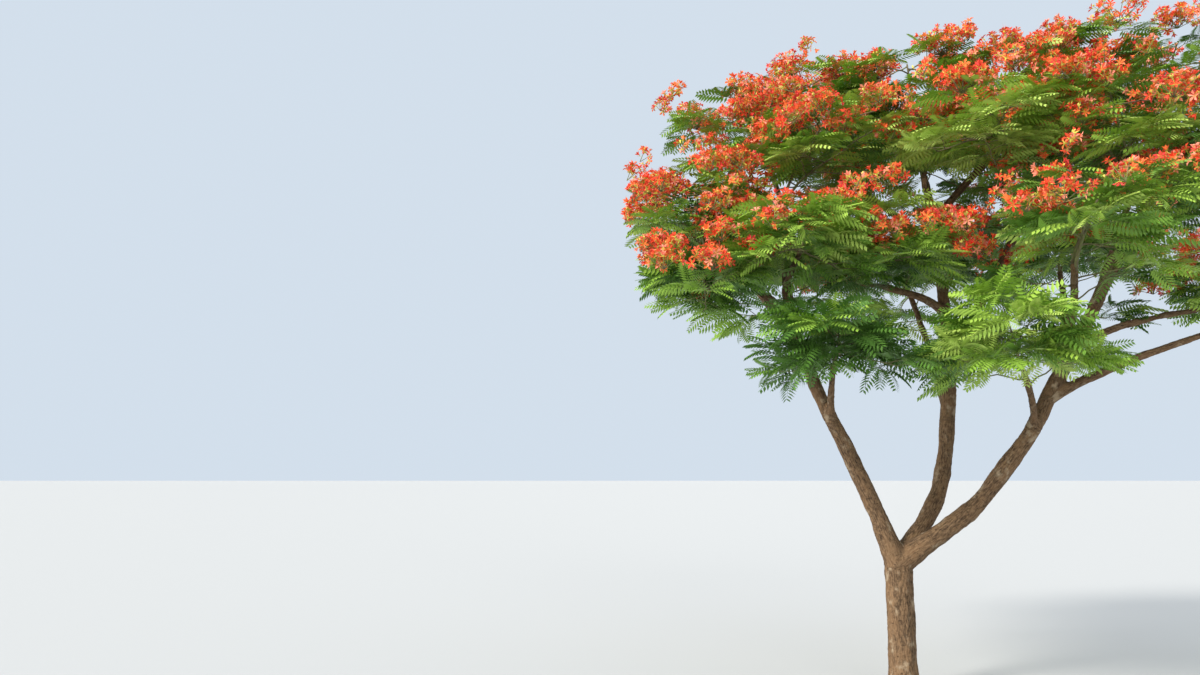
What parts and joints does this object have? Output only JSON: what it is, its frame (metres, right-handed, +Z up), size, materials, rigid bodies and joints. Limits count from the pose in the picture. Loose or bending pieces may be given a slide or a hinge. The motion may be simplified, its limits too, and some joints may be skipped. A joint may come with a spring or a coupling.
{
  "type": "flame tree",
  "caption": "Young spreading flame tree in flower, with a short forked trunk, arching boughs and an open, flat-topped crown of feathery leaves and red blossom.",
  "frame": {"origin": "middle of the trunk's flat cut at ground level", "axes": "+Z up along the trunk, +X to the right and +Y away as the picture shows the tree"},
  "size_m": [7.4951, 5.987, 7.1862],
  "materials": {
    "bark": "rough",
    "foliage": "satin",
    "blossom": "satin"
  },
  "bodies": {
    "root": {"blossom_back_right_top": "blossom", "blossom_centre_left_top": "blossom", "blossom_centre_right_top": "blossom", "blossom_centre_top": "blossom", "blossom_front_right": "blossom", "blossom_front_right_top": "blossom", "blossom_front_top": "blossom", "blossom_left_front": "blossom", "blossom_left_out": "blossom", "blossom_left_shoulder": "blossom", "blossom_left_top": "blossom", "blossom_right_edge_top": "blossom", "blossom_right_top": "blossom", "bough_centre": "bark", "bough_left": "bark", "bough_right": "bark", "leaf_back_left": "foliage", "leaf_back_low": "foliage", "leaf_back_right": "foliage", "leaf_back_right_top": "foliage", "leaf_back_top": "foliage", "leaf_centre_left_top": "foliage", "leaf_centre_out": "foliage", "leaf_centre_right_top": "foliage", "leaf_centre_top": "foliage", "leaf_front_low": "foliage", "leaf_front_right": "foliage", "leaf_front_right_top": "foliage", "leaf_front_top": "foliage", "leaf_left_back": "foliage", "leaf_left_edge": "foliage", "leaf_left_front": "foliage", "leaf_left_low": "foliage", "leaf_left_out": "foliage", "leaf_left_shoulder": "foliage", "leaf_left_top": "foliage", "leaf_right_back": "foliage", "leaf_right_back_top": "foliage", "leaf_right_edge": "foliage", "leaf_right_edge_top": "foliage", "leaf_right_front": "foliage", "leaf_right_low": "foliage", "leaf_right_mid": "foliage", "leaf_right_top": "foliage", "limb_centre_back": "bark", "limb_centre_front": "bark", "limb_centre_out": "bark", "limb_centre_right": "bark", "limb_centre_up": "bark", "limb_front_low": "bark", "limb_left_back": "bark", "limb_left_front": "bark", "limb_left_low": "bark", "limb_left_out": "bark", "limb_right_back": "bark", "limb_right_front": "bark", "limb_right_low": "bark", "limb_right_mid": "bark", "limb_right_up": "bark", "trunk": "bark"}
  },
  "joints": []
}
